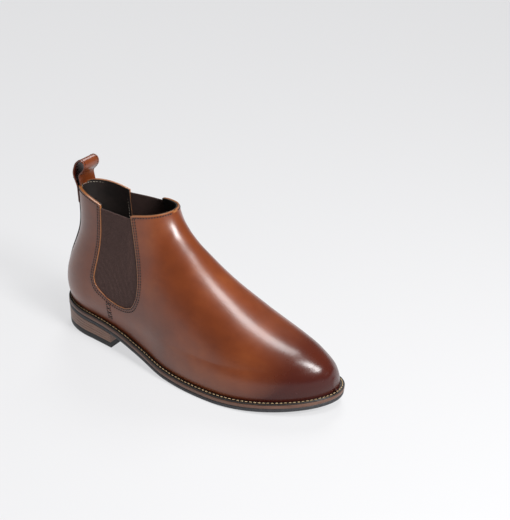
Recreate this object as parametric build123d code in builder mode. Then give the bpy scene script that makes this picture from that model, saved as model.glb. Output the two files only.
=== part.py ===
"""Chelsea boot for the right foot: leather upper with elastic gores on a welted stacked-heel sole.

+X points to the toe, +Y to the inner (medial) side and +Z up. The origin is the middle of the boot's
box on the ground. Stations along the boot are measured from the back of the heel in millimetres, and
at(...) moves them into the boot's frame.
"""
from build123d import *
from bisect import bisect_left
from math import cos, hypot, pi, sin, sqrt
import os

os.makedirs("parts", exist_ok=True)

# Driving dimensions, millimetres
SOLE_LENGTH = 311.0          # EU 43 dress sole, heel back to toe tip
HEEL_BULGE = 1.2             # the counter stands this far behind the heel
BALL_LATERAL = 56.7          # widest outer edge of the sole
BALL_MEDIAL = 50.5           # widest inner edge of the sole
WELT_LEDGE = 4.2             # welt that shows outside the upper
HEEL_ROUND = 45.0            # length of the rounded heel end
TOE_START = 205.0            # the toe's rounding starts here
BREAST_X = 75.0              # front face of the heel
LEATHER = 1.8                # upper leather
STIFFENER = 0.7              # toe puff and heel counter
CROWN_POWER = 2.3            # squareness of the upper's cross sections
SIDE_SWELL = 1.6             # outward swell of the upper just above the welt
LINING = 1.4                 # lining leather, skived to half beside the stiffeners
INSOLE = 2.0
SOCK = 1.4
WELT_THICK = 1.6
MIDSOLE_THICK = 3.9
OUTSOLE_THICK = 4.2
TOP_LIFT_THICK = 6.8
HEEL_INSET = 2.0             # the heel narrows by this much at the ground
LIFT_COUNT = 4
HEEL_SEAT_BACK = 30.8        # welt height at the back of the heel and at its breast
HEEL_SEAT_BREAST = 26.5
LASTING_MARGIN = 17.0        # width of the upper that is turned under the insole
TAB_WIDTH = 23.0
TAB_THICK = 1.5
TAB_CLEAR = 0.3              # gap between the folding loop, its tails and the upper
TAB_ROOT_R = 7.0             # the tails stay inside this radius of the fold line
TAB_ROOT_Z = 153.5           # height of the fold line
TAB_TOP = 181.0
TAIL_BOTTOM = 134.0
TAIL_WIDTH = 20.0
BACKSTAY_WIDTH = 19.0
PUFF_X = 258.0               # the toe puff starts here
COUNTER_X = 92.0             # the heel counter reaches forward to here
COUNTER_TOP = 68.0
WELT_WIDTH = 12.0
SHANK_START, SHANK_END = 38.0, 150.0
SHANK_WIDTH = 15.0
SHANK_THICK = 1.2
TREAD_COUNT = 9
TREAD_START = 176.0
TREAD_PITCH = 11.0
TREAD_WIDTH = 2.4
TREAD_DEPTH = 1.0
NAIL_R = 1.0
PIN_HEAD = 0.6               # recess around each pin in the walking face
NAIL_LOW, NAIL_HIGH = 7.6, 15.6
PIN_LOW = 1.2
# The side seam: the front leather overlaps the quarters ahead of this line
SEAM = ((73.6, 0), (72.5, 27), (70.3, 43), (69.5, 80), (75, 175))

SOLE_THICK = WELT_THICK + MIDSOLE_THICK + OUTSOLE_THICK
INNER = LEATHER + LINING
MID_X = (SOLE_LENGTH - HEEL_BULGE) / 2
MID_Y = (BALL_MEDIAL - BALL_LATERAL) / 2
REACH = 90.0                 # half depth of a cutting prism


def curve(*points):
    """Smooth curve through (x, y) points, straight beyond its ends."""
    xs = [p[0] for p in points]
    ys = [p[1] for p in points]
    steps = [b - a for a, b in zip(xs, xs[1:])]
    rises = [(b - a) / h for a, b, h in zip(ys, ys[1:], steps)]
    slopes = [rises[0]]
    for h0, h1, r0, r1 in zip(steps, steps[1:], rises, rises[1:]):
        slopes.append((r0 * h1 + r1 * h0) / (h0 + h1))
    slopes.append(rises[-1])

    def value(x):
        if x <= xs[0]:
            return ys[0] + slopes[0] * (x - xs[0])
        if x >= xs[-1]:
            return ys[-1] + slopes[-1] * (x - xs[-1])
        k = max(bisect_left(xs, x) - 1, 0)
        t = (x - xs[k]) / steps[k]
        ends = ys[k] * (1 + 2 * t) * (1 - t) ** 2 + ys[k + 1] * t * t * (3 - 2 * t)
        return ends + steps[k] * t * (1 - t) * (slopes[k] * (1 - t) - slopes[k + 1] * t)

    return value


# Plan of the sole: half width before the ends are rounded, and its middle line
plan_half = curve((0, 33.4), (45, 34.3), (75, 36.6), (100, 37.2), (125, 40), (150, 45.2),
                  (178, 50.2), (205, 52.6), (311, 52.6))
plan_mid = curve((0, 0), (45, -0.3), (75, -1.3), (110, -5), (140, -7.2), (170, -6),
                 (205, -4), (240, -0.5), (275, 5), (311, 12))
# Side view: top of the welt, back edge of the upper by height, and the ridge of the instep
feather = curve((-10, 30.9), (0, 30.8), (40, 29.2), (76, 26.4), (110, 19.2), (150, 11.3), (190, 9.7),
                (230, 10.6), (265, 13.4), (308, 19.2), (322, 21.6))
back_edge = curve((0, 9.5), (20, 5.6), (31, 2.8), (40, 0.4), (50, -HEEL_BULGE), (62, -0.6),
                  (80, 4), (95, 9.6), (110, 13.8), (121, 14.6), (131, 13.8), (150, 11.3), (175, 9))
RIDGE = ((90, 330), (100, 255), (110, 203), (118, 176), (125, 157), (134, 142.5), (144, 131.5),
         (158, 120), (171, 110), (189, 98.5), (204, 90.5), (224, 80.5), (243, 72.6), (262, 65.4),
         (277, 59.4), (290, 52), (299, 45), (304.4, 36.5), (306.3, 28), (306.8, 19.5))
# Upper width over the footprint's width by height, at the heel and at the front of the shaft
rear_scale = curve((20, 1), (30, 1.02), (45, 1.11), (62, 1.12), (85, 1.04), (110, 0.92),
                   (130, 0.87), (147, 0.86), (175, 0.86))
front_scale = curve((10, 1), (30, 1), (45, 1.06), (62, 1.07), (85, 1.04), (110, 0.98),
                    (130, 0.95), (147, 0.93), (175, 0.93))
# Top line of the leather behind and before the gore, and of the elastic
rear_top = curve((8, 154), (14, 154), (30, 152.7), (50, 149), (60, 146.5))
front_top = curve((86, 148), (93, 150.5), (110, 154), (128, 157.5), (140, 159.5))
gore_top = curve((45, 144.5), (93, 147.5), (100, 148))


def smooth_step(value):
    value = min(max(value, 0), 1)
    return value * value * (3 - 2 * value)


def sole_half(x, inset):
    """Half width of the sole's plan, inset by a constant."""
    ends = 1.0
    if x < HEEL_ROUND:
        u = min(max((HEEL_ROUND - x) / (HEEL_ROUND - inset), 0), 1)
        ends = sqrt(1 - u * u)
    if x > TOE_START:
        u = min(max((x - TOE_START) / (SOLE_LENGTH - inset - TOE_START), 0), 1)
        ends = sqrt(1 - u * u)
    return (plan_half(x) - inset) * ends


def ridge_inside(depth):
    """Ridge of the surface that lies depth inside the leather's outer face."""
    points = []
    for (x0, z0), (x1, z1), (x2, z2) in zip(RIDGE, RIDGE[1:], RIDGE[2:]):
        dx, dz = x2 - x0, z2 - z0
        size = hypot(dx, dz)
        points.append((x1 + depth * dz / size, z1 - depth * dx / size))
    end_x, end_z = RIDGE[-1]
    points.append((end_x - depth, end_z))
    return curve(*points)


def upper_half(x, z, depth, ridge):
    """Half width and middle of the upper at a station and height."""
    inset = WELT_LEDGE + depth
    back = back_edge(z) + depth
    foot_x = x
    if x < 130:
        foot_x = inset + (x - back) * (130 - inset) / (130 - back)
    half = sole_half(foot_x, inset)
    along = smooth_step((x - 40) / 70)
    scale = rear_scale(z) * (1 - along) + front_scale(z) * along
    scale = 1 + (scale - 1) * min(max(1 - (x - 130) / 50, 0), 1)
    low = feather(x)
    rise = min(max((z - low) / max(ridge(max(x, 92)) - low, 0.001), 0), 1)
    swell = SIDE_SWELL * sin(pi * min(max((z - low) / 30, 0), 1))
    swell *= min(max((x - 120) / 60, 0), 1) * min(half / 25, 1)
    crown = sqrt(max(1 - rise ** CROWN_POWER, 0))
    return (half * scale + swell) * crown, plan_mid(x) * (1 - 0.6 * rise)


def front_station(z, depth, ridge):
    """Station where the ridge comes down to a height."""
    low, high = 92.0, RIDGE[-1][0] - depth
    if z <= ridge(high):
        return high
    for _ in range(50):
        middle = (low + high) / 2
        if ridge(middle) > z:
            low = middle
        else:
            high = middle
    return low


def at(x, y):
    """A plan point in the boot's frame."""
    return (x - MID_X, y - MID_Y)


def side(x, z):
    """A side-view point in the boot's frame."""
    return (x - MID_X, z)


def closed_ring(stations, width):
    """Adds the closed plan curve through the stations; width gives half width and middle."""
    first, last = stations[0], stations[-1]
    ends = [at(first, width(first)[1]), at(last, width(last)[1])]
    outer = [at(x, width(x)[1] - width(x)[0]) for x in stations[1:-1]]
    inner = [at(x, width(x)[1] + width(x)[0]) for x in stations[1:-1]]
    ring = [ends[0], *outer, ends[1], *reversed(inner)]
    even = [k / len(ring) for k in range(len(ring) + 1)]
    add(Edge.make_spline([Vector(*p, 0) for p in ring], periodic=True, parameters=even))


def spread(start, end, count):
    """Stations that crowd towards both ends."""
    return [start + (end - start) * (1 - cos(pi * k / count)) / 2 for k in range(count + 1)]


RING_LEVELS = (8, 18, 28, 38, 48, 60, 73, 87, 102, 118, 134, 148, 162)


def upper_form(depth, levels=RING_LEVELS):
    """Solid inside the surface that lies depth under the leather's outer face."""
    ridge = ridge_inside(depth)
    with BuildPart() as form:
        for z in levels:
            with BuildSketch(Plane.XY.offset(z)):
                with BuildLine():
                    start = back_edge(z) + depth
                    stations = spread(start, front_station(z, depth, ridge), 12)
                    closed_ring(stations, lambda x: upper_half(x, z, depth, ridge))
                make_face()
        loft()
    return form.part


def sole_prism(inset, height=60.0):
    """Upright prism on the sole's plan."""
    with BuildPart() as prism:
        with BuildSketch():
            with BuildLine():
                stations = spread(inset, SOLE_LENGTH - inset, 14)
                closed_ring(stations, lambda x: (sole_half(x, inset), plan_mid(x)))
            make_face()
        extrude(amount=height)
    return prism.part


SOLE_STATIONS = (-10, 0, 20, 40, 58, 76, 92, 110, 130, 150, 170, 190, 210, 230, 248, 265, 286, 308, 322)


def layer(low, high):
    """Band between two heights over the feather line, across the whole boot."""
    with BuildPart() as band:
        with BuildSketch(Plane.XZ):
            with BuildLine():
                under = [side(x, feather(x) + low) for x in SOLE_STATIONS]
                over = [side(x, feather(x) + high) for x in SOLE_STATIONS]
                Spline(*under)
                Line(under[-1], over[-1])
                Spline(*reversed(over))
                Line(over[0], under[0])
            make_face()
        extrude(amount=REACH, both=True)
    return band.part


def prism_xz(*points):
    """Straight-sided side-view outline, cut through the whole boot."""
    with BuildPart() as block:
        with BuildSketch(Plane.XZ):
            with BuildLine():
                Polyline(*[side(x, z) for x, z in points], close=True)
            make_face()
        extrude(amount=REACH, both=True)
    return block.part


def below_line(line, stations, floor=0.0):
    """Everything under a top line, cut through the whole boot."""
    with BuildPart() as block:
        with BuildSketch(Plane.XZ):
            with BuildLine():
                top = [side(x, line(x)) for x in stations]
                Spline(*top)
                Line(top[-1], side(stations[-1], floor))
                Line(side(stations[-1], floor), side(stations[0], floor))
                Line(side(stations[0], floor), top[0])
            make_face()
        extrude(amount=REACH, both=True)
    return block.part


def gore_prism():
    """The gore's window, open at the top."""
    with BuildPart() as block:
        with BuildSketch(Plane.XZ):
            with BuildLine():
                rear = [(51, 170), (53.6, 140), (55.2, 118), (54.6, 98), (52.4, 80), (51.6, 73)]
                base = [(51.6, 73), (54.6, 66), (64, 59.6), (76, 55.2), (87, 53.6), (97, 55.4), (104, 61.6),
                        (107.4, 71)]
                front = [(107.4, 71), (107.6, 84), (105, 100), (100, 121), (95, 141.4), (88, 170)]
                Spline(*[side(x, z) for x, z in rear])
                Spline(*[side(x, z) for x, z in base])
                Spline(*[side(x, z) for x, z in front])
                Line(side(*front[-1]), side(*rear[0]))
            make_face()
        extrude(amount=REACH, both=True)
    return block.part


def half_space(sign):
    """The lateral (-1) or medial (+1) side of the boot's middle line."""
    with BuildPart() as block:
        with BuildSketch(Plane.XY):
            with Locations((0, -MID_Y + sign * REACH / 2)):
                Rectangle(4 * REACH, REACH)
        extrude(amount=220)
    return block.part


def finish(piece, label):
    """Names the piece and writes its file."""
    piece.label = label
    export_step(piece, f"parts/{label}.step")


# Shared forms, from the outside in
form_outer = upper_form(0)
form_leather = upper_form(LEATHER)
form_stiffener = upper_form(LEATHER + STIFFENER)
form_lining = upper_form(INNER)
above_feather = layer(0, 200)
above_leather = layer(LEATHER, 200)
above_stiffener = layer(LEATHER + STIFFENER, 200)
above_lining = layer(INNER, 200)
margin_hole = sole_prism(WELT_LEDGE + LASTING_MARGIN)
gore_window = gore_prism()
lateral_side = half_space(-1)
medial_side = half_space(1)
front_region = prism_xz(*SEAM, (330, 175), (330, 0))
rear_region = prism_xz(*SEAM, (-20, 175), (-20, 0))
rear_below = below_line(rear_top, (-15, 8, 14, 30, 50, 60, 80))
front_below = below_line(front_top, (60, 86, 93, 110, 128, 140, 330))
gore_below = below_line(gore_top, (40, 60, 80, 100, 115))


def trimmed(form, band):
    """A form cut off at its own bottom surface."""
    with BuildPart() as block:
        add(form)
        add(band, mode=Mode.INTERSECT)
    return block.part


def shell_between(outer, inner):
    """Cup between two trimmed forms, with the turned-under margin left open in the middle."""
    with BuildPart() as cup:
        add(outer)
        add(inner, mode=Mode.SUBTRACT)
        add(margin_hole, mode=Mode.SUBTRACT)
    return cup.part


def cut_from(cup, keep, remove=()):
    """The part of a cup inside every keep block and outside every remove block."""
    with BuildPart() as piece:
        add(cup)
        for block in keep:
            add(block, mode=Mode.INTERSECT)
        for block in remove:
            add(block, mode=Mode.SUBTRACT)
    return piece.part


core_outer = trimmed(form_outer, above_feather)
core_leather = trimmed(form_leather, above_leather)
core_stiffener = trimmed(form_stiffener, above_stiffener)
core_lining = trimmed(form_lining, above_lining)
leather_cup = shell_between(core_outer, core_leather)
lining_cup = shell_between(core_leather, core_lining)
stiffener_cup = shell_between(core_leather, core_stiffener)

# Backstay: the narrow strip up the back seam
with BuildPart() as backstay_block:
    with BuildSketch(Plane.XY):
        with Locations(at(10, 0)):
            Rectangle(60, BACKSTAY_WIDTH)
    extrude(amount=200)
backstay_prism = backstay_block.part


def make_upper():
    """Leather pieces, elastic gores and linings."""
    vamp = cut_from(leather_cup, (front_region, front_below), (gore_window,))
    finish(vamp, "vamp")
    for label, half in (("quarter_lateral", lateral_side), ("quarter_medial", medial_side)):
        quarter = cut_from(leather_cup, (rear_region, half, rear_below), (gore_window, backstay_prism))
        finish(quarter, label)
    finish(cut_from(leather_cup, (rear_region, rear_below, backstay_prism)), "backstay")
    for label, half in (("gore_lateral", lateral_side), ("gore_medial", medial_side)):
        finish(cut_from(leather_cup, (gore_window, half, gore_below)), label)
    puff_region = prism_xz((PUFF_X, 0), (PUFF_X, 120), (330, 120), (330, 0))
    # The counter's front edge slopes back as it rises
    counter_region = prism_xz((COUNTER_X, 0), (COUNTER_X - 12, COUNTER_TOP), (-20, COUNTER_TOP), (-20, 0))
    toe_puff = cut_from(stiffener_cup, (puff_region,)).solids().sort_by(SortBy.VOLUME)[-1]
    heel_counter = cut_from(stiffener_cup, (counter_region,))
    finish(toe_puff, "toe_puff")
    finish(heel_counter, "heel_counter")
    finish(cut_from(lining_cup, (front_region, front_below), (gore_window, toe_puff, heel_counter)), "vamp_lining")
    finish(cut_from(lining_cup, (rear_region, rear_below), (gore_window, heel_counter)), "quarter_lining")


def make_tab():
    """Pull tab: a folding loop and its two tails, sewn outside and inside the top of the back."""
    root_x = back_edge(TAB_ROOT_Z) + INNER / 2
    levels = (TAIL_BOTTOM - 4, TAIL_BOTTOM + 8, TAIL_BOTTOM + 18, TAIL_BOTTOM + 28, TAB_ROOT_Z + 12)
    with BuildPart() as clip:
        with BuildSketch(Plane.XY.offset(TAIL_BOTTOM)):
            with Locations(at(root_x, 0)):
                Rectangle(24, TAIL_WIDTH)
        extrude(amount=60)
    with BuildPart() as root_disc:
        with BuildSketch(Plane.XZ):
            with Locations(side(root_x, TAB_ROOT_Z)):
                Circle(TAB_ROOT_R - TAB_CLEAR)
            with Locations(side(root_x, TAB_ROOT_Z - 25)):
                Rectangle(24, 50)
        extrude(amount=REACH, both=True)
    tails = (("pull_tab_outer_tail", -TAB_THICK - TAB_CLEAR, -TAB_CLEAR),
             ("pull_tab_inner_tail", INNER + TAB_CLEAR, INNER + TAB_CLEAR + TAB_THICK))
    for label, near, far in tails:
        with BuildPart() as tail:
            add(upper_form(near, levels))
            add(upper_form(far, levels), mode=Mode.SUBTRACT)
            add(clip.part, mode=Mode.INTERSECT)
            add(root_disc.part, mode=Mode.INTERSECT)
            with BuildPart(mode=Mode.PRIVATE) as front_cut:
                with BuildSketch(Plane.XY):
                    with Locations(at(root_x + 30 + 7, 0)):
                        Rectangle(60, 60)
                extrude(amount=220)
            add(front_cut.part, mode=Mode.SUBTRACT)
        finish(tail.part, label)
    # The loop leaves the collar upright, leans forward and turns over at the top
    rear_foot = root_x - INNER / 2 - TAB_THICK / 2
    front_foot = root_x + INNER / 2 + TAB_THICK / 2
    with BuildPart() as loop:
        with BuildSketch(Plane.XZ):
            with BuildLine() as path:
                Spline(side(rear_foot, TAB_ROOT_Z + 4), side(rear_foot - 0.4, 164),
                       side(rear_foot + 1.2, 173), side(rear_foot + 6.5, TAB_TOP - TAB_THICK / 2),
                       side(rear_foot + 12, 174.5), side(front_foot + 2.2, 166),
                       side(front_foot, TAB_ROOT_Z + 4), tangents=((0, 1), (0, -1)))
            trace(line_width=TAB_THICK)
            with Locations(side(root_x, TAB_ROOT_Z)):
                Circle(TAB_ROOT_R, mode=Mode.SUBTRACT)
        extrude(amount=TAB_WIDTH / 2, both=True)
    placed = Pos(0, -MID_Y, 0) * loop.part
    finish(placed, "pull_tab")


def sole_layer(inset, low, high, start=-12.0, end=330.0):
    """Slice of the sole's prism between two heights over the feather line."""
    with BuildPart() as slab:
        add(sole_prism(inset))
        add(layer(low, high), mode=Mode.INTERSECT)
        if start > 0 or end < SOLE_LENGTH:
            add(prism_xz((start, -5), (start, 80), (end, 80), (end, -5)), mode=Mode.INTERSECT)
    return slab.part


def make_bottom():
    """Welt, insole parts, filler, shank, midsole and outsole."""
    with BuildPart() as welt:
        add(sole_layer(0, -WELT_THICK, 0))
        add(sole_prism(WELT_WIDTH), mode=Mode.SUBTRACT)
    finish(welt.part, "welt")
    finish(sole_layer(0.4, -WELT_THICK - MIDSOLE_THICK, -WELT_THICK), "midsole")
    outsole = sole_layer(0.2, -SOLE_THICK, -WELT_THICK - MIDSOLE_THICK)
    with BuildPart() as treaded:
        add(outsole)
        for k in range(TREAD_COUNT):
            x = TREAD_START + k * TREAD_PITCH
            depth = feather(x) - SOLE_THICK + TREAD_DEPTH
            near, far = x - TREAD_WIDTH / 2, x + TREAD_WIDTH / 2
            add(prism_xz((near, -5), (near, depth), (far, depth), (far, -5)), mode=Mode.SUBTRACT)
    finish(treaded.part, "outsole")
    with BuildPart() as shank:
        with BuildSketch(Plane.XY):
            with Locations(at((SHANK_START + SHANK_END) / 2, -2.5)):
                SlotOverall(SHANK_END - SHANK_START, SHANK_WIDTH)
        extrude(amount=60)
        add(layer(-WELT_THICK, -WELT_THICK + SHANK_THICK), mode=Mode.INTERSECT)
    finish(shank.part, "shank")
    with BuildPart() as filler:
        add(sole_layer(WELT_WIDTH, -WELT_THICK, 0))
        add(sole_layer(WELT_LEDGE + LASTING_MARGIN, 0, INNER))
        add(shank.part, mode=Mode.SUBTRACT)
    finish(filler.part, "bottom_filler")
    with BuildPart() as insole:
        add(core_lining)
        add(layer(0, INNER + INSOLE), mode=Mode.INTERSECT)
    finish(insole.part, "insole_board")
    with BuildPart() as sock:
        add(core_lining)
        add(layer(INNER + INSOLE, INNER + INSOLE + SOCK), mode=Mode.INTERSECT)
    finish(sock.part, "sock_liner")


def make_heel():
    """Stacked leather lifts, rubber top lift and the nails that hold them."""
    with BuildPart() as block:
        for z, inset in ((0, HEEL_INSET), (26, 0.2)):
            with BuildSketch(Plane.XY.offset(z)):
                with BuildLine():
                    stations = spread(inset, SOLE_LENGTH - inset, 14)
                    closed_ring(stations, lambda x: (sole_half(x, inset), plan_mid(x)))
                make_face()
        loft()
        add(prism_xz((-10, -5), (-10, 30), (BREAST_X + 0.6, 30), (BREAST_X - 0.8, -5)), mode=Mode.INTERSECT)
    heel_block = block.part
    nail_spots = [at(12, 0), at(24, -18), at(24, 17), at(44, -24), at(44, 22), at(64, -24), at(64, 22)]
    pin_spots = [at(15, -9), at(15, 9), at(34, -23), at(34, 21), at(62, -12), at(62, 10)]

    def joint_line(step):
        """Two side-view points of the flat joint above a lift; the lifts share the wedge evenly."""
        line = []
        for x in (-10, 100):
            seat = HEEL_SEAT_BACK - SOLE_THICK + (HEEL_SEAT_BREAST - HEEL_SEAT_BACK) * x / BREAST_X
            line.append((x, TOP_LIFT_THICK + (seat - TOP_LIFT_THICK) * step / LIFT_COUNT))
        return line

    def posts(spots, low, high, radius):
        with BuildPart() as group:
            with BuildSketch(Plane.XY.offset(low)):
                with Locations(*spots):
                    Circle(radius)
            extrude(amount=high - low)
        return group.part

    nails = posts(nail_spots, NAIL_LOW, NAIL_HIGH, NAIL_R)
    pins = posts(pin_spots, PIN_LOW, TOP_LIFT_THICK, NAIL_R)
    under_seat = layer(-60, -SOLE_THICK)
    for step in range(1, LIFT_COUNT + 1):
        low = joint_line(step - 1)
        high = joint_line(step) if step < LIFT_COUNT else [(-10, 40), (100, 40)]
        with BuildPart() as lift:
            add(heel_block)
            add(prism_xz(*low, *reversed(high)), mode=Mode.INTERSECT)
            if step == LIFT_COUNT:
                add(under_seat, mode=Mode.INTERSECT)
            add(nails, mode=Mode.SUBTRACT)
        finish(lift.part, f"heel_lift_{step}")
    with BuildPart() as top_lift:
        add(heel_block)
        add(prism_xz((-10, 0), (-10, TOP_LIFT_THICK), (100, TOP_LIFT_THICK), (100, 0)), mode=Mode.INTERSECT)
        add(pins, mode=Mode.SUBTRACT)
        add(posts(pin_spots, 0, PIN_LOW, NAIL_R + PIN_HEAD), mode=Mode.SUBTRACT)
    finish(top_lift.part, "top_lift")
    finish(nails, "heel_nails")
    finish(pins, "top_lift_pins")


make_upper()
make_tab()
make_bottom()
make_heel()
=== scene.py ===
import math

import bmesh
import bpy
import numpy as np
from mathutils import Matrix, Vector


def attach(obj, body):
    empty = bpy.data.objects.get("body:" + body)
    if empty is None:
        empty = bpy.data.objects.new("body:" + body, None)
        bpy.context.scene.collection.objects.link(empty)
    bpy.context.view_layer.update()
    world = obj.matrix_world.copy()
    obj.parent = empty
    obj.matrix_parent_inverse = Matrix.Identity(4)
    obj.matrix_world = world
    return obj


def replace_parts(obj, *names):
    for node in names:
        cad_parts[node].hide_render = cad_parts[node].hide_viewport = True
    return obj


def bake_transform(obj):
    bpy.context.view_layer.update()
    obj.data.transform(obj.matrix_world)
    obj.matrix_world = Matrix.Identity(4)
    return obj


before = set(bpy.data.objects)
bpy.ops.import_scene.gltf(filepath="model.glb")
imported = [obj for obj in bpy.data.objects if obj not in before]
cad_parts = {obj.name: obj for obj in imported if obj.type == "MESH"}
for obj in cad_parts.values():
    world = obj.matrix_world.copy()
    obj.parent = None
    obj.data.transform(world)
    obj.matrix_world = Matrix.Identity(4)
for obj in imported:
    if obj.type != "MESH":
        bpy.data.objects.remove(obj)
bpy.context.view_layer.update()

SOLE_LENGTH = 311.0
HEEL_BULGE = 1.2
WELT_LEDGE = 4.2
HEEL_ROUND = 45.0
TOE_START = 205.0
BREAST_X = 75.0
LEATHER = 1.8
INNER = 3.2                  # depth of the lining's inner face under the leather's outer face
ON_LINING = INNER + 0.05     # depth of what lies on the lining
WELT_THICK = 1.6
MIDSOLE_THICK = 3.9
OUTSOLE_THICK = 4.2
SOLE_THICK = WELT_THICK + MIDSOLE_THICK + OUTSOLE_THICK
TOP_LIFT_THICK = 6.8
HEEL_INSET = 2.0             # how far the heel stands in at the ground, and at its top
HEEL_INSET_TOP = 0.2
LIFT_COUNT = 4
HEEL_SEAT_BACK = 30.8
HEEL_SEAT_BREAST = 26.5
HEEL_MIDDLE = 30.0           # station where a lift's inset is worked out
TAB_WIDTH = 23.0
TAB_LOW, TAB_HIGH = -0.65, 0.85              # faces of the strap from its middle line
TAB_ROOT_Z = 153.5
TAB_TOP = 181.0
STRIP_HALF = 9.5
STRIP_THICK = 3.0
LEATHER_BEVEL = 0.45
TUCK = 0.4
MID_X = (SOLE_LENGTH - HEEL_BULGE) / 2
MID_Y = -3.1
CROWN = 2.3                  # how square the shoulder of each cross-section is
SHAFT_END = 130              # station where the shaft's plan has become the foot's
RIDGE_START = 92             # first station where the ridge is the upper's top
LATERAL, MEDIAL = -1, 1


def curve(*points):
    """Smooth curve through (x, y) points for arrays, straight beyond its ends."""
    xs = np.array([p[0] for p in points], float)
    ys = np.array([p[1] for p in points], float)
    h = np.diff(xs)
    d = np.diff(ys) / h
    m = np.concatenate([[d[0]], (d[:-1] * h[1:] + d[1:] * h[:-1]) / (h[:-1] + h[1:]), [d[-1]]])

    def value(x):
        x = np.asarray(x, float)
        inside = np.clip(x, xs[0], xs[-1])
        k = np.clip(np.searchsorted(xs, inside) - 1, 0, len(h) - 1)
        t = (inside - xs[k]) / h[k]
        y = ys[k] * (1 + 2 * t) * (1 - t) ** 2 + ys[k + 1] * t * t * (3 - 2 * t)
        y = y + h[k] * t * (1 - t) * (m[k] * (1 - t) - m[k + 1] * t)
        return y + np.where(x < xs[0], m[0], m[-1]) * (x - inside)

    return value


plan_half = curve((0, 33.4), (45, 34.3), (75, 36.6), (100, 37.2), (125, 40), (150, 45.2), (178, 50.2),
                  (205, 52.6), (311, 52.6))
plan_mid = curve((0, 0), (45, -0.3), (75, -1.3), (110, -5), (140, -7.2), (170, -6), (205, -4), (240, -0.5),
                 (275, 5), (311, 12))
feather = curve((-10, 30.9), (0, 30.8), (40, 29.2), (76, 26.4), (110, 19.2), (150, 11.3), (190, 9.7),
                (230, 10.6), (265, 13.4), (308, 19.2), (322, 21.6))
back_edge = curve((0, 9.5), (20, 5.6), (31, 2.8), (40, 0.4), (50, -HEEL_BULGE), (62, -0.6), (80, 4),
                  (95, 9.6), (110, 13.8), (121, 14.6), (131, 13.8), (150, 11.3), (175, 9))
RIDGE = ((90, 330), (100, 255), (110, 203), (118, 176), (125, 157), (134, 142.5), (144, 131.5), (158, 120),
         (171, 110), (189, 98.5), (204, 90.5), (224, 80.5), (243, 72.6), (262, 65.4), (277, 59.4), (290, 52),
         (299, 45), (304.4, 36.5), (306.3, 28), (306.8, 19.5))
ridge = curve(*RIDGE)
rear_scale = curve((20, 1), (30, 1.02), (45, 1.11), (62, 1.12), (85, 1.04), (110, 0.92), (130, 0.87),
                   (147, 0.86), (175, 0.86))
front_scale = curve((10, 1), (30, 1), (45, 1.06), (62, 1.07), (85, 1.04), (110, 0.98), (130, 0.95),
                    (147, 0.93), (175, 0.93))
rear_top = curve((8, 154), (14, 154), (30, 152.7), (50, 149), (60, 146.5))
front_top = curve((86, 148), (93, 150.5), (110, 154), (128, 157.5), (140, 159.5))
gore_top = curve((45, 144.5), (93, 147.5), (100, 148))
# Edges of the gore's window and the side seam, x by height
gore_rear = curve((73, 51.6), (80, 52.4), (98, 54.6), (118, 55.2), (140, 53.6), (170, 51))
gore_front = curve((71, 107.4), (84, 107.6), (100, 105), (121, 100), (141.4, 95), (170, 88))
gore_base = curve((51.6, 73), (54.6, 66), (64, 59.6), (76, 55.2), (87, 53.6), (97, 55.4), (104, 61.6),
                  (107.4, 71))
SEAM_TOP = (70.3, 57.3)
SEAM_LEAN = 3.1 / 30
GORE_LOW_REAR = 73.0
GORE_LOW_FRONT = 71.0
GORE_REAR_X = 51.6           # stations where the base meets the rear and front edges
GORE_FRONT_X = 107.4
GORE_WIDEST = 107.6
GORE_FRONT_TOP = 92.8
COLLAR_FRONT = 125.9         # station where the front of the collar crosses the ridge
COLLAR_REAR_END = 50.2       # station where the quarter's collar meets the gore
COLLAR_TOP = 154.0
TOE_TIP = RIDGE[-1][0]


def smooth(v):
    """Eased step from 0 to 1."""
    v = np.clip(v, 0, 1)
    return v * v * (3 - 2 * v)


def sole_half(x, inset):
    """Half width of the sole's plan."""
    x = np.asarray(x, float)
    u = np.clip((HEEL_ROUND - x) / (HEEL_ROUND - inset), 0, 1)
    s = np.clip((x - TOE_START) / (SOLE_LENGTH - inset - TOE_START), 0, 1)
    return (plan_half(x) - inset) * np.sqrt(1 - u * u) * np.sqrt(1 - s * s)


def upper_half(x, z, depth=0.0):
    """Half width and middle of the upper at stations and heights, depth under its outer face."""
    x = np.asarray(x, float)
    z = np.asarray(z, float)
    inset = WELT_LEDGE + depth
    back = back_edge(z) + depth
    foot = np.where(x < SHAFT_END, inset + (x - back) * (SHAFT_END - inset) / (SHAFT_END - back), x)
    half = sole_half(foot, inset)
    along = smooth((x - 40) / 70)
    scale = rear_scale(z) * (1 - along) + front_scale(z) * along
    scale = 1 + (scale - 1) * np.clip(1 - (x - SHAFT_END) / 50, 0, 1)
    low = feather(x)
    rise = np.clip((z - low) / np.maximum(ridge(np.maximum(x, RIDGE_START)) - depth - low, 0.001), 0, 1)
    swell = 1.6 * np.sin(np.pi * np.clip((z - low) / 30, 0, 1)) * np.clip((x - 120) / 60, 0, 1)
    swell = swell * np.clip(half / 25, 0, 1)
    return (half * scale + swell) * np.sqrt(np.clip(1 - rise ** CROWN, 0, 1)), plan_mid(x) * (1 - 0.6 * rise)


def on_upper(x, z, side, depth=0.0):
    """Points on the upper's side, millimetres."""
    half, middle = upper_half(x, z, depth)
    x, z, y = np.broadcast_arrays(x, z, middle + side * half)
    return np.stack([x, y, z], -1)


def unit(vectors):
    """Vectors at length 1."""
    return vectors / np.maximum(np.linalg.norm(vectors, axis=-1, keepdims=True), 1e-9)


def run_along(points):
    """Distance run along a line at each of its points."""
    return np.concatenate([[0], np.cumsum(np.linalg.norm(np.diff(points, axis=0), axis=1))])


def left_of(line):
    """Directions square to a flat line, to its left."""
    way = unit(np.gradient(line, axis=0))
    return np.stack([-way[:, 1], way[:, 0]], -1)


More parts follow.
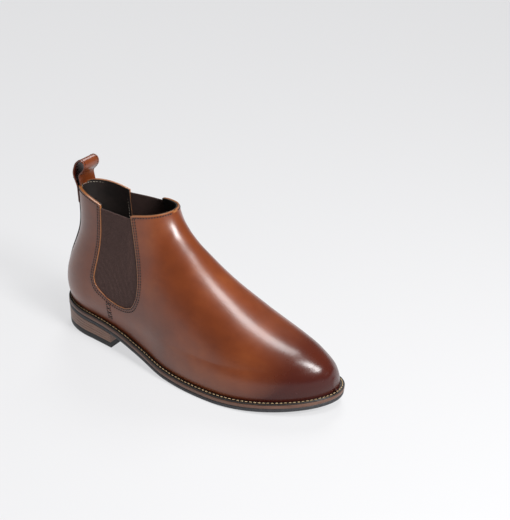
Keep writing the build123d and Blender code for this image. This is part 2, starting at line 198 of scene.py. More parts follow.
def to_frame(points):
    """Station millimetres to the frame's metres."""
    return (np.asarray(points, float) - (MID_X, MID_Y, 0)) / 1000


def station_of_half(z, half, depth=0.0):
    """Station near the back where the upper reaches a half width, found by halving."""
    z = np.asarray(z, float)
    low = back_edge(z) + depth
    high = low + 25
    for _ in range(30):
        middle = (low + high) / 2
        short = upper_half(middle, z, depth)[0] < half
        low = np.where(short, middle, low)
        high = np.where(short, high, middle)
    return (low + high) / 2


# ---- mesh helpers

def add_object(name, data):
    """Puts data into the scene as an object."""
    obj = bpy.data.objects.new(name, data)
    bpy.context.scene.collection.objects.link(obj)
    return obj


def new_object(name, points, faces, material, body="root", weld=True):
    """Smooth mesh object from station-millimetre points."""
    mesh = bpy.data.meshes.new(name)
    mesh.from_pydata([tuple(p) for p in to_frame(points)], [], faces)
    bm = bmesh.new()
    bm.from_mesh(mesh)
    if weld:
        bmesh.ops.remove_doubles(bm, verts=bm.verts, dist=2e-6)
        bmesh.ops.dissolve_degenerate(bm, edges=bm.edges, dist=1e-6)
    bmesh.ops.recalc_face_normals(bm, faces=bm.faces)
    bm.to_mesh(mesh)
    bm.free()
    mesh.materials.append(material)
    for polygon in mesh.polygons:
        polygon.use_smooth = True
    obj = add_object(name, mesh)
    if body:
        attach(obj, body)
    return obj


def grid_faces(rows, cols, start=0, wrap=False):
    """Quads of a rows by cols grid of points, row by row."""
    faces = []
    for i in range(rows - 1):
        for j in range(cols if wrap else cols - 1):
            k = (j + 1) % cols
            near = start + i * cols
            far = near + cols
            faces.append((near + j, near + k, far + k, far + j))
    return faces


def new_sheet(name, rows, material):
    """Mesh object from rows of points with equal counts."""
    rows = np.array(rows)
    return new_object(name, rows.reshape(-1, 3), grid_faces(*rows.shape[:2]), material)


def thicken(obj, thickness, bevel):
    """Gives a sheet its thickness inwards and eases its edges."""
    solid = obj.modifiers.new("thickness", "SOLIDIFY")
    solid.thickness = thickness / 1000
    solid.offset = -1
    solid.use_even_offset = False
    solid.use_quality_normals = True
    edge = obj.modifiers.new("edge", "BEVEL")
    edge.width = bevel / 1000
    edge.segments = 3
    edge.limit_method = "ANGLE"
    edge.angle_limit = math.radians(55)
    edge.use_clamp_overlap = True


def flip_outwards(obj):
    """Makes the sheet's faces look away from a line along the boot, 30 mm above the ground."""
    heart = Vector((0, -MID_Y / 1000, 0.03))
    total = 0.0
    for polygon in obj.data.polygons:
        away = polygon.center - heart
        away.x = 0
        total += polygon.normal.dot(away) * polygon.area
    if total < 0:
        obj.data.flip_normals()


def add_mask(obj, name, values):
    """Per-vertex mask that the materials read."""
    layer = obj.data.attributes.new(name, "FLOAT", "POINT")
    layer.data.foreach_set("value", np.asarray(values, np.float32))


def stations_of(obj):
    """The object's vertices in station millimetres."""
    co = np.empty(len(obj.data.vertices) * 3, np.float32)
    obj.data.vertices.foreach_get("co", co)
    return co.reshape(-1, 3).astype(float) * 1000 + (MID_X, MID_Y, 0)


# ---- materials

OBJECT = 3                   # output of the coordinate node with object coordinates
FACTOR = 2                   # number output of an attribute node


class Paint:
    """A Principled material, and short calls that add and link its nodes."""

    def __init__(self, name, roughness, specular=0.5, coat=0.0, coat_roughness=0.1, sheen=0.0, metallic=0.0):
        self.material = bpy.data.materials.new(name)
        self.material.use_nodes = True
        self.tree = self.material.node_tree
        self.shader = self.tree.nodes["Principled BSDF"]
        values = {"Roughness": roughness, "Specular IOR Level": specular, "Coat Weight": coat,
                  "Coat Roughness": coat_roughness, "Sheen Weight": sheen, "Metallic": metallic}
        for socket, value in values.items():
            self.shader.inputs[socket].default_value = value
        self.place = self.node("ShaderNodeTexCoord")

    def node(self, kind, **values):
        """New node: in_0, in_1 and so on set its sockets, other names its options."""
        item = self.tree.nodes.new(kind)
        for key, value in values.items():
            if key.startswith("in_"):
                item.inputs[int(key[3:])].default_value = value
            else:
                setattr(item, key, value)
        return item

    def link(self, source, target, out=0, into=0):
        """Links two nodes by the places of their sockets."""
        self.tree.links.new(source.outputs[out], target.inputs[into])

    def mask(self, name):
        """Node that reads a per-vertex mask."""
        return self.node("ShaderNodeAttribute", attribute_name=name)

    def math(self, operation, factor=0.5, add=0.5, **values):
        """Math node with its last two sockets set."""
        return self.node("ShaderNodeMath", operation=operation, in_1=factor, in_2=add, **values)

    def shade(self, source, socket, out=0):
        """Links a node to one of the shader's sockets."""
        self.link(source, self.shader, out, self.shader.inputs.find(socket))

    def texture(self, kind, scale, stretch=None, **values):
        """Texture in object coordinates, stretched if asked."""
        item = self.node(kind, **values)
        item.inputs["Scale"].default_value = scale
        if stretch:
            mapping = self.node("ShaderNodeMapping")
            mapping.inputs["Scale"].default_value = stretch
            self.link(self.place, mapping, OBJECT)
            self.link(mapping, item)
        else:
            self.link(self.place, item, OBJECT)
        return item

    def noise(self, scale, detail, rough, stretch=None):
        """Cloudy noise."""
        item = self.texture("ShaderNodeTexNoise", scale, stretch)
        item.inputs["Detail"].default_value = detail
        item.inputs["Roughness"].default_value = rough
        return item

    def ramp(self, source, *stops, out=0):
        """Colour ramp fed by a value."""
        item = self.node("ShaderNodeValToRGB")
        elements = item.color_ramp.elements
        while len(elements) < len(stops):
            elements.new(0.5)
        for element, (position, color) in zip(elements, stops):
            element.position = position
            element.color = (*color, 1)
        self.link(source, item, out)
        return item

    def mix(self, factor, first, second, mode="MIX", out=0):
        """Mixes two colours, each a node or a plain colour, by a number or by a node's output."""
        item = self.node("ShaderNodeMix", data_type="RGBA", blend_type=mode)
        if isinstance(factor, float):
            item.inputs[0].default_value = factor
        else:
            self.link(factor, item, out, 0)
        for socket, source in ((6, first), (7, second)):
            if isinstance(source, tuple):
                item.inputs[socket].default_value = (*source, 1)
            else:
                self.link(source, item, color_output(source), socket)
        return item

    def bump(self, height, strength, distance, before=None):
        """Bump from a height into the shader's normal, on top of an earlier bump if there is one."""
        item = self.node("ShaderNodeBump")
        item.inputs["Strength"].default_value = strength
        item.inputs["Distance"].default_value = distance
        self.link(height, item, 0, item.inputs.find("Height"))
        if before:
            self.link(before, item, 0, item.inputs.find("Normal"))
        self.shade(item, "Normal")
        return item

    def base(self, color):
        """Takes a node's colour as the base colour, and gives the finished material."""
        self.shade(color, "Base Color", color_output(color))
        return self.material


def color_output(item):
    """Place of a node's colour output."""
    return 2 if item.bl_idname == "ShaderNodeMix" else 0


def leather_material():
    """Tan-brown polished calf with burnished toe and edges, and painted shade from the same mask above the
    welt and inside the tab's loop.
    """
    paint = Paint("tan_calf", 0.30, 0.5, 0.5, 0.25)
    cloud = paint.noise(22, 5, 0.55)
    tone = paint.ramp(cloud, (0.3, (0.138, 0.026, 0.0048)), (0.52, (0.188, 0.038, 0.0068)),
                      (0.72, (0.238, 0.055, 0.0098)))
    streaks = paint.ramp(paint.noise(60, 4, 0.6, (0.35, 1, 1)), (0.35, (0.86, 0.84, 0.82)), (0.65, (1, 1, 1)))
    color = paint.mix(0.8, tone, streaks, "MULTIPLY")
    burnish_and_shade = paint.mask("burnish_and_shade")
    # The burnish and its painted shade break up with the leather's clouds
    broken = paint.math("MULTIPLY_ADD", 0.35, -0.17)
    paint.link(cloud, broken)
    gate = paint.math("MULTIPLY")
    paint.link(broken, gate)
    paint.link(burnish_and_shade, gate, FACTOR, 1)
    amount = paint.math("ADD", use_clamp=True)
    paint.link(burnish_and_shade, amount, FACTOR, 0)
    paint.link(gate, amount, 0, 1)
    # Dark brown of the burnish, also used as painted shade above the welt and inside the tab's loop
    color = paint.mix(amount, color, (0.052, 0.0078, 0.0052))
    edge = paint.mask("edge")
    color = paint.mix(edge, color, (0.37, 0.14, 0.043), out=FACTOR)
    grain = paint.texture("ShaderNodeTexVoronoi", 1500, feature="DISTANCE_TO_EDGE")
    fine = paint.bump(paint.ramp(grain, (0.0, (0, 0, 0)), (0.18, (1, 1, 1))), 0.10, 0.00006)
    paint.bump(paint.noise(140, 4, 0.5), 0.10, 0.0006, before=fine)
    gloss = paint.node("ShaderNodeMapRange", in_3=0.29, in_4=0.40)
    paint.link(paint.noise(90, 3, 0.5), gloss)
    # Burnished leather is smoother and mirrors less; the painted shade in the same mask does likewise
    for socket, slope, start in (("Roughness", -0.09, 0.0), ("Coat Weight", -0.38, 0.5),
                                 ("Specular IOR Level", -0.22, 0.5)):
        level = paint.math("MULTIPLY_ADD", slope, start)
        paint.link(burnish_and_shade, level, FACTOR)
        paint.shade(level, socket)
        if socket == "Roughness":
            paint.link(gloss, level, 0, 2)
    return paint.base(color)


def elastic_material():
    """Dark brown ribbed elastic, with painted shade in the grooves and lighter crests on the ribs."""
    paint = Paint("ribbed_elastic", 0.8, 0.12, sheen=0.1)
    rib = paint.mask("rib")
    weave = paint.noise(1400, 2, 0.6, (1, 1, 0.8))
    # Painted shade: darker in the grooves between the ribs, lighter on their crests
    painted_rib_shade = paint.ramp(rib, (0.0, (0.04, 0.023, 0.0195)), (1.0, (0.125, 0.072, 0.063)), out=FACTOR)
    flecks = paint.ramp(weave, (0.3, (0.62, 0.6, 0.6)), (0.7, (1.25, 1.2, 1.2)))
    paint.bump(weave, 0.35, 0.00018)
    return paint.base(paint.mix(1.0, painted_rib_shade, flecks, "MULTIPLY"))


def plain_leather(name, dark, light, roughness, scale=70, coat=0.0, grain=0.3):
    """Leather or leatherboard of one colour with cloudy variation and a fine grain."""
    paint = Paint(name, roughness, 0.4, coat, 0.25)
    paint.bump(paint.texture("ShaderNodeTexVoronoi", 1100, feature="DISTANCE_TO_EDGE"), grain, 0.00012)
    return paint.base(paint.ramp(paint.noise(scale, 5, 0.6), (0.3, dark), (0.7, light)))


def layered_leather(name, dark, light):
    """Stacked leather edge: fine level streaks under a stain."""
    paint = Paint(name, 0.42, 0.45, 0.15, 0.3)
    layers = paint.noise(90, 6, 0.7, (0.25, 0.25, 14))
    streaks = paint.ramp(layers, (0.28, dark), (0.5, light), (0.74, dark))
    stain = paint.ramp(paint.noise(45, 3, 0.5), (0.3, (0.72, 0.7, 0.7)), (0.7, (1.1, 1.1, 1.1)))
    paint.bump(layers, 0.35, 0.0003)
    return paint.base(paint.mix(1.0, streaks, stain, "MULTIPLY"))


def rubber_material(name, dark, light, roughness):
    """Moulded rubber with a fine speckle."""
    paint = Paint(name, roughness, 0.35)
    speck = paint.noise(300, 4, 0.7)
    paint.bump(speck, 0.25, 0.00015)
    return paint.base(paint.ramp(speck, (0.3, dark), (0.7, light)))


def thread_material(name, dark, light):
    """Waxed thread with a slanted twist."""
    paint = Paint(name, 0.6, 0.3, sheen=0.2)
    twist = paint.texture("ShaderNodeTexWave", 700, bands_direction="DIAGONAL")
    twist.inputs["Distortion"].default_value = 1.5
    paint.bump(twist, 0.5, 0.0001)
    return paint.base(paint.ramp(twist, (0.2, dark), (0.8, light)))


def metal_material(name, color, roughness):
    """Brushed metal."""
    paint = Paint(name, roughness, 0.5, metallic=1.0)
    brushed = paint.noise(400, 3, 0.6, (0.1, 1, 1))
    paint.bump(brushed, 0.2, 0.00005)
    return paint.base(paint.ramp(brushed, (0.3, tuple(c * 0.75 for c in color)), (0.7, color)))


tan_calf = leather_material()
ribbed = elastic_material()
lining_leather = plain_leather("lining_leather", (0.008, 0.0055, 0.0045), (0.02, 0.013, 0.011), 0.7)
sock_leather = plain_leather("sock_leather", (0.012, 0.008, 0.006), (0.03, 0.019, 0.014), 0.6)
welt_black = plain_leather("welt_black", (0.006, 0.0045, 0.004), (0.016, 0.011, 0.009), 0.42, 120, 0.1)
midsole_brown = layered_leather("midsole_edge", (0.105, 0.047, 0.03), (0.18, 0.088, 0.057))
stack_brown = layered_leather("stacked_edge", (0.14, 0.064, 0.039), (0.245, 0.125, 0.08))
sole_grey = rubber_material("sole_rubber", (0.028, 0.028, 0.031), (0.052, 0.052, 0.056), 0.55)
rubber_black = rubber_material("top_lift_rubber", (0.008, 0.008, 0.0085), (0.02, 0.02, 0.021), 0.5)
thread_dark = thread_material("thread_dark", (0.008, 0.004, 0.0035), (0.03, 0.014, 0.01))
thread_pale = thread_material("thread_pale", (0.26, 0.22, 0.17), (0.52, 0.46, 0.38))
thread_tan = thread_material("thread_tan", (0.30, 0.19, 0.09), (0.62, 0.45, 0.25))
raw_edge = plain_leather("raw_edge", (0.17, 0.06, 0.02), (0.29, 0.115, 0.037), 0.55)
strip_leather = plain_leather("strip_leather", (0.014, 0.0065, 0.005), (0.03, 0.013, 0.009), 0.6)
board = plain_leather("fibre_board", (0.30, 0.24, 0.17), (0.44, 0.36, 0.26), 0.85)
cork = plain_leather("cork_grain", (0.22, 0.12, 0.06), (0.42, 0.26, 0.14), 0.9, 400, 0.0, 0.8)
steel = metal_material("spring_steel", (0.42, 0.43, 0.45), 0.35)
brass = metal_material("brass_pin", (0.62, 0.43, 0.17), 0.35)


# ---- upper

def burnish_and_shade_of(points):
    """How dark the leather is: burnish on the toe and the sides of the toe, and painted shade in the crease
    along the line above the welt.
    """
    x, z = points[:, 0], points[:, 2]
    rise = np.clip(z - feather(x), 0, None)
    toe = 0.85 * smooth((x - 234) / 46) * (1 - 0.1 * smooth((z - 30) / 30))
    # Painted shade: a dark line in the crease just above the welt
    low = 0.55 * np.exp(-rise / 2.2)
    low_toe = 0.5 * smooth((x - 185) / 70) * np.exp(-rise / 15)
    return np.clip(toe + low + low_toe, 0, 1)


def finish_leather(obj, edge):
    """Masks of the burnish with its painted shade, and of the cut edge, for the leather's material."""
    points = stations_of(obj)
    add_mask(obj, "burnish_and_shade", burnish_and_shade_of(points))
    add_mask(obj, "edge", edge(points))


def crowd(start, end, count, ends="both"):
    """Values from start to end that crowd at one or both ends."""
    t = np.linspace(0, 1, count)
    eased = {"both": (1 - np.cos(np.pi * t)) / 2, "start": 1 - np.cos(np.pi * t / 2),
             "end": np.sin(np.pi * t / 2)}
    return start + (end - start) * eased[ends]


def top_of(x):
    """Upper edge of the front leather: the collar, then the ridge."""
    crest = ridge(np.maximum(x, RIDGE_START))
    return np.where(x < COLLAR_FRONT, np.minimum(front_top(x), crest), crest)


def tuck(x):
    """Lowest line of the upper, a hair inside the welt."""
    return feather(x) - TUCK


def seam_x(z):
    """Station of the side seam, which leans back a little as it rises."""
    return SEAM_TOP[0] + (SEAM_TOP[1] - z) * SEAM_LEAN


def vamp_side(side):
    """Points of the lower and the upper bands of the front leather on one side."""
    fold = (COLLAR_FRONT - GORE_FRONT_TOP) / (TOE_TIP - GORE_FRONT_TOP)
    share = np.concatenate([[0, 0.002, 0.0045], crowd(0, fold, 26, "end")[1:-1], crowd(fold, 1, 110)])
    heights = np.concatenate([[0, 0.004, 0.012, 0.03], np.linspace(0.06, 1, 26)[:-1], [0.974, 0.988, 1]])
    under_gore = SEAM_TOP[0] + np.linspace(0, 1, 26)[:-1] * (GORE_FRONT_X - SEAM_TOP[0])
    front = np.concatenate([under_gore, GORE_FRONT_X + share * (TOE_TIP - GORE_FRONT_X)])
    lean = np.clip((GORE_FRONT_X - front) / (GORE_FRONT_X - SEAM_TOP[0]), 0, 1)
    low = feather(GORE_FRONT_X)
    join_rise = (GORE_LOW_FRONT - low) / (top_of(np.array(GORE_FRONT_X)) - low)
    lower = []
    for v in heights:
        x = front.copy()
        for _ in range(4):
            over = np.where(x < GORE_FRONT_X, gore_base(x), feather(x) + join_rise * (top_of(x) - feather(x)))
            z = tuck(x) + v * (over - tuck(x))
            x = front + lean * (seam_x(z) - SEAM_TOP[0])
        lower.append(on_upper(x, z, side))
    upper = []
    for phi in crowd(np.arcsin(join_rise ** (CROWN / 2)), math.pi / 2, 64, "end"):
        part = np.sin(phi) ** (2 / CROWN)
        x = GORE_FRONT_X + share * (TOE_TIP - GORE_FRONT_X)
        for _ in range(6):
            z = feather(x) + part * (top_of(x) - feather(x))
            start = np.minimum(gore_front(np.maximum(z[0], GORE_LOW_FRONT)), GORE_WIDEST)
            x = start + share * (TOE_TIP - start)
        upper.append(on_upper(x, z, side))
    return np.array(lower), np.array(upper)


EDGE_WIDTH = 0.9
EDGE_FADE = 0.5
EDGE_AMOUNT = 0.9


def vamp_edge(p):
    """Cut edge of the front leather: along the collar and round the gore."""
    x, z = p[:, 0], p[:, 2]
    collar = smooth(1 - (top_of(x) - z) / EDGE_WIDTH) * (x < COLLAR_FRONT)
    beside = (z > GORE_LOW_FRONT) * smooth((gore_front(z) + EDGE_WIDTH - x) / EDGE_FADE)
    base = gore_base(np.maximum(x, GORE_REAR_X))
    below = (x < GORE_FRONT_X) * (z < GORE_LOW_FRONT + 1) * smooth((z - base + EDGE_WIDTH) / EDGE_FADE)
    return EDGE_AMOUNT * np.maximum(collar, np.maximum(beside, below))


def quarter_edge(p):
    """Cut edge of a quarter: along the collar and beside the gore."""
    x, z = p[:, 0], p[:, 2]
    collar = smooth(1 - (rear_top(x) - z) / EDGE_WIDTH)
    beside = (z > SEAM_TOP[1] + 1) * smooth((x - quarter_right(z) + EDGE_WIDTH) / EDGE_FADE)
    return EDGE_AMOUNT * np.maximum(collar, beside)


def make_vamp():
    """Front leather in one piece, its halves joined along the ridge."""
    points = []
    faces = []
    for side in (LATERAL, MEDIAL):
        for band in vamp_side(side):
            faces += grid_faces(*band.shape[:2], len(points))
            points += list(band.reshape(-1, 3))
    obj = new_object("vamp_leather", points, faces, tan_calf)
    bm = bmesh.new()
    bm.from_mesh(obj.data)
    bmesh.ops.remove_doubles(bm, verts=bm.verts, dist=6e-5)
    bmesh.ops.recalc_face_normals(bm, faces=bm.faces)
    bm.to_mesh(obj.data)
    bm.free()
    flip_outwards(obj)
    finish_leather(obj, vamp_edge)
    thicken(obj, LEATHER, LEATHER_BEVEL)
    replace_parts(obj, "vamp")


def quarter_right(z):
    """Front edge of a quarter: the side seam, the gore's base and its rear edge."""
    under = np.interp(z, (SEAM_TOP[1], 59.6, 66.0, GORE_LOW_REAR), (SEAM_TOP[0], 64.0, 54.6, GORE_REAR_X))
    return np.where(z < SEAM_TOP[1], seam_x(z), np.where(z < GORE_LOW_REAR, under, gore_rear(z)))


def make_quarter(side, label):
    """Rear leather on one side, from the back strip to the side seam and the gore."""
    low = feather(SEAM_TOP[0])
    corner = (SEAM_TOP[1] - low) / (rear_top(SEAM_TOP[0]) - low)
    heights = np.concatenate([[0, 0.006], np.linspace(0.03, corner, 12), np.linspace(corner, 0.42, 16)[1:],
                              np.linspace(0.42, 0.975, 30)[1:], [0.988, 1]])
    share = np.concatenate([np.linspace(0, 1, 44)[:-1], [0.985, 0.9925, 1]])
    rows = []
    for v in heights:
        z = np.full(share.shape, HEEL_SEAT_BACK + v * 122)
        for _ in range(5):
            back = back_edge(z)
            root = np.sqrt(station_of_half(z, STRIP_HALF) - back)
            x = back + (root + (np.sqrt(quarter_right(z) - back) - root) * share) ** 2
            z = tuck(x) + v * (rear_top(x) - tuck(x))
        rows.append(on_upper(x, z, side))
    obj = new_sheet(label, rows, tan_calf)
    flip_outwards(obj)
    finish_leather(obj, quarter_edge)
    thicken(obj, LEATHER, LEATHER_BEVEL)
    return obj


def make_backstay():
    """Strip up the back seam, a little proud of the quarters."""
    across = np.linspace(-1, 1, 17) * (STRIP_HALF + 0.25)
    rows = []
    for height in np.linspace(HEEL_SEAT_BACK - TUCK, COLLAR_TOP, 50):
        z = np.full(across.shape, height)
        proud = 0.5 + 0.9 * smooth((z - 60) / 40) * smooth((142 - z) / 8)
        x = station_of_half(z, np.abs(across)) - proud
        middle = upper_half(x + proud, z)[1]
        rows.append(np.stack([x, middle + across, z], -1))
    obj = new_sheet("backstay_strip", rows, strip_leather)
    if sum(p.normal.x * p.area for p in obj.data.polygons) > 0:
        obj.data.flip_normals()
    thicken(obj, STRIP_THICK, 0.3)
    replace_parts(obj, "backstay")


RIB_COUNT = 36
RIB_STEPS = 6
GORE_TUCK = 0.03             # share of the gore's width that goes under each edge


def make_gore(side, label):
    """Ribbed elastic panel a little below the leather's face and tucked under its edges."""
    share = np.linspace(-GORE_TUCK, 1 + GORE_TUCK, RIB_COUNT * RIB_STEPS + 1)
    wave = 0.5 - 0.5 * np.cos(2 * np.pi * RIB_COUNT * np.linspace(0, 1, len(share)))
    rows = []
    for v in np.linspace(-0.012, 1, 60):
        z = np.full(share.shape, 70 + v * 76)
        for _ in range(5):
            low = np.clip(z, 72, 148)
            x = gore_rear(low) + (gore_front(low) - gore_rear(low)) * share
            base = gore_base(np.clip(x, GORE_REAR_X, GORE_FRONT_X))
            z = base + v * (gore_top(x) - base)
        rows.append(on_upper(x, z, side, 0.75 - 0.2 * wave))
    obj = new_sheet(label, rows, ribbed)
    flip_outwards(obj)
    # The rib mask paints shade into the grooves between the ribs
    add_mask(obj, "rib", np.tile(wave, len(rows)))
    solid = obj.modifiers.new("thickness", "SOLIDIFY")
    solid.thickness = 0.0009
    solid.offset = -1
    return obj


# ---- stitches

def resample(points, pitch):
    """Points at an even pitch along a line, with its directions."""
    points = np.asarray(points, float)
    run = run_along(points)
    count = max(int(run[-1] / pitch), 1)

    def at(place):
        return np.stack([np.interp(place, run, points[:, k]) for k in range(3)], -1)

    places = (np.arange(count) + 0.5) * run[-1] / count
    return at(places), unit(at(places + 0.2) - at(places - 0.2))


def upper_normal(x, z, side, depth=0.0):
    """Outward normals of the upper."""
    here = on_upper(x, z, side, depth)
    dx = on_upper(x + 0.3, z, side, depth) - here
    dz = on_upper(x, z + 0.3, side, depth) - here
    normal = np.cross(dz, dx) * side
    normal = normal * np.where((normal[..., 1] * side) < 0, -1, 1)[..., None]
    return unit(normal)


# Length, width and height of the stitches
UPPER_STITCH = (2.0, 1.3, 0.75)
LINING_STITCH = (1.7, 0.8, 0.5)
WELT_STITCH = (2.9, 0.95, 0.7)
TAB_STITCH = (1.8, 0.55, 0.45)
# A stitch's sections: place along it, width and lift, each as a share
STITCH_SECTIONS = ((-0.5, 0.25, -0.15), (-0.36, 0.85, 0.55), (-0.12, 1.0, 0.95), (0.12, 1.0, 1.0),
                   (0.36, 0.85, 0.55), (0.5, 0.25, -0.15))


def stitch_mesh(rows, length, width, height):
    """One rounded stitch at each spot: rows of (spots, directions, normals)."""
    points = []
    faces = []
    sides = 6
    turn = 2 * math.pi * np.arange(sides)[:, None] / sides
    for spots, along, normals in rows:
        for spot, direction, normal in zip(spots, along, normals):
            across = unit(np.cross(normal, direction))
            start = len(points)
            for place, wide, lift in STITCH_SECTIONS:
                center = spot + direction * length * place + normal * height * 0.32 * lift
                ring = across * width * np.cos(turn) + normal * height * np.sin(turn)
                points += list(center + ring * wide / 2)
            last = start + (len(STITCH_SECTIONS) - 1) * sides
            faces += grid_faces(len(STITCH_SECTIONS), sides, start, wrap=True)
            faces.append(tuple(start + k for k in reversed(range(sides))))
            faces.append(tuple(last + k for k in range(sides)))
    return points, faces


def make_stitches(name, lines, pitch, size, material, body="root"):
    """A row of stitches along each (points, normal function) line."""
    rows = []
    for line, normal_at in lines:
        spots, along = resample(line, pitch)
        rows.append((spots, along, normal_at(spots)))
    points, faces = stitch_mesh(rows, *size)
    return new_object(name, points, faces, material, body, weld=False)


def side_line(outline, side, step=1.0):
    """A side-view line laid on the upper, a hair above its face."""
    run = run_along(outline)
    at = np.linspace(0, run[-1], max(int(run[-1] / step), 2))
    x, z = np.interp(at, run, outline[:, 0]), np.interp(at, run, outline[:, 1])
    return on_upper(x, z, side, -0.02), lambda p: upper_normal(p[:, 0], p[:, 2], side)


def gore_outline(gap):
    """The gore's window grown by a gap, from the rear top corner round to the front top corner."""
    down = np.linspace(149, 76, 40)
    along = crowd(GORE_REAR_X, GORE_FRONT_X, 60)[2:-2]
    up = np.linspace(74, 150.5, 40)
    line = np.concatenate([np.stack([gore_rear(down), down], -1), np.stack([along, gore_base(along)], -1),
                           np.stack([gore_front(up), up], -1)])
    for _ in range(3):
        line[1:-1] = (line[:-2] + 2 * line[1:-1] + line[2:]) / 4
    return line - left_of(line) * gap


def make_upper_stitches():
    """Two rows round each gore, one under the collar, and crossed tacks up each side seam."""
    gore_rows = []
    tacks = []
    collar = []
    rear = np.linspace(17.5, COLLAR_REAR_END, 30)
    front = crowd(94.5, 125.2, 50, "end")
    for side in (LATERAL, MEDIAL):
        for gap in (1.5, 4.0):
            line = gore_outline(gap)
            top = np.where(line[:, 0] < 75, rear_top(line[:, 0]), front_top(line[:, 0]))
            gore_rows.append(side_line(line[line[:, 1] < top - 1.6], side))
        for x, top in ((rear, rear_top), (front, front_top)):
            collar.append(side_line(np.stack([x, top(x) - 1.9], -1), side, step=0.4))
        for height in (50.5, 45.5, 40.5, 35.5):
            center = seam_x(height) + 0.9
            for lean in (-0.6, 0.6):
                reach = np.linspace(-3.0, 3.0, 7)
                tacks.append(side_line(np.stack([center + reach, height + lean * reach], -1), side))
    for name, lines, pitch in (("gore_stitching", gore_rows, 2.75), ("collar_stitching", collar, 2.6),
                               ("side_seam_tacks", tacks, 1.9)):
        make_stitches(name, lines, pitch, UPPER_STITCH, thread_dark)


def rim_line(side, front, depth, lift):
    """A line that follows the collar, depth under the leather's face and lifted from its edge."""
    if front:
        x = crowd(93.2, COLLAR_FRONT - 0.48 * (depth + lift), 60, "end")
        return on_upper(x, front_top(x) + lift, side, depth)
    start = float(back_edge(COLLAR_TOP)) + depth
    x = start + (COLLAR_REAR_END - start) * np.linspace(0, 1, 60) ** 2
    return on_upper(x, rear_top(x) + lift, side, depth)


def make_collar():
    """Turned edge that closes the leather and lining along the collar, and the stitches seen inside."""
    points = []
    faces = []
    inner = []
    section = ((1.9, -0.5), (1.9, 0.0), (2.1, 0.2), (3.0, 0.2), (3.35, 0.0), (3.35, -0.8), (3.1, -0.8))
    for side in (LATERAL, MEDIAL):
        def inwards(p, side=side):
            return -upper_normal(p[:, 0], p[:, 2], side, INNER)

        for front in (True, False):
            rows = np.array([rim_line(side, front, depth, lift) for depth, lift in section])
            start = len(points)
            count = rows.shape[1]
            points += list(rows.reshape(-1, 3))
            faces += grid_faces(len(section), count, start)
            for end in (0, count - 1):
                faces.append(tuple(start + k * count + end for k in range(len(section))))
            inner.append((rim_line(side, front, ON_LINING, -2.3), inwards))
        for edge, gap in ((gore_rear, -2.2), (gore_front, 2.2)):
            z = np.linspace(96, 145, 40)
            inner.append((on_upper(edge(z) + gap, z, side, ON_LINING), inwards))
    new_object("collar_edge", points, faces, raw_edge)
    stitches = make_stitches("lining_stitching", inner, 3.0, LINING_STITCH, thread_pale)


# ---- sole

SOLE_STATIONS = crowd(0, SOLE_LENGTH, 150)
WELT_FOOT = -WELT_THICK      # heights of the sole's layers from the feather line
MIDSOLE_FOOT = WELT_FOOT - MIDSOLE_THICK
TREAD_PLACES = 176 + 11 * np.arange(9)
TREAD_WIDTH = 2.4
TREAD_DEPTH = 1.0
TREAD_WALL = 0.03            # run of a groove's side wall, each way
OUTSOLE_EDGE = 2.2           # how far the outsole's flat underside stops from its edge
STITCH_INSET = 2.1


def inset_stations(stations, inset, open_end=False):
    """Stations drawn in from both ends of the sole, or from the heel's end only."""
    trim = inset if open_end else 2 * inset
    return inset + stations * (stations[-1] - trim) / stations[-1]


def slab(name, stations, levels, material, open_end=False):
    """Closed slab on the sole's plan from levels of (inset, height by station), top first."""
    count = len(stations)
    points = []
    for inset, height in levels:
        x = inset_stations(stations, inset, open_end)
        half, middle, z = sole_half(x, inset), plan_mid(x), height(x)
        for side in (LATERAL, MEDIAL):
            points += list(np.stack([x, middle + side * half, z], -1))
    faces = []
    for k in range(len(levels) - 1):
        a, b = 2 * count * k, 2 * count * (k + 1)
        for s in (0, count):
            for i in range(count - 1):
                faces.append((a + s + i, a + s + i + 1, b + s + i + 1, b + s + i))
        faces.append((a + count - 1, a + 2 * count - 1, b + 2 * count - 1, b + count - 1))
    for base in (0, 2 * count * (len(levels) - 1)):
        for i in range(count - 1):
            faces.append((base + i, base + i + 1, base + count + i + 1, base + count + i))
    return smooth_by_angle(new_object(name, points, faces, material))


def smooth_by_angle(obj):
    """Keeps flat caps flat and rounded sides smooth."""
    bm = bmesh.new()
    bm.from_mesh(obj.data)
    for edge in bm.edges:
        if len(edge.link_faces) == 2 and edge.calc_face_angle(0) > math.radians(35):
            edge.smooth = False
    bm.to_mesh(obj.data)
    bm.free()
    return obj


def above(offset):
    """Height by station at an offset from the feather line."""
    return lambda x: feather(x) + offset


def sole_ring(inset, offset):
    """Closed ring on the sole's plan at an inset and an offset from the feather line."""
    x = inset_stations(SOLE_STATIONS, inset)
    half, middle, z = sole_half(x, inset), plan_mid(x), feather(x) + offset
    near, far = (np.stack([x, middle + side * half, z], -1) for side in (LATERAL, MEDIAL))
    return np.concatenate([near, far[1:-1][::-1]])


def make_welt():
    """Flat strip with eased edges round the whole sole."""
    profile = ((12, -0.02), (1.1, 0), (0.45, -0.1), (0.12, -0.4), (0.05, -0.8), (0.15, -1.3),
               (0.6, WELT_FOOT), (12, WELT_FOOT))
    rings = np.array([sole_ring(inset, offset) for inset, offset in profile])
    around = rings.shape[1]
    faces = grid_faces(len(profile), around, wrap=True)
    first = (len(profile) - 1) * around
    for j in range(around):
        k = (j + 1) % around
        faces.append((first + j, first + k, k, j))
    welt = smooth_by_angle(new_object("welt_strip", rings.reshape(-1, 3), faces, welt_black))
    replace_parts(welt, "welt")


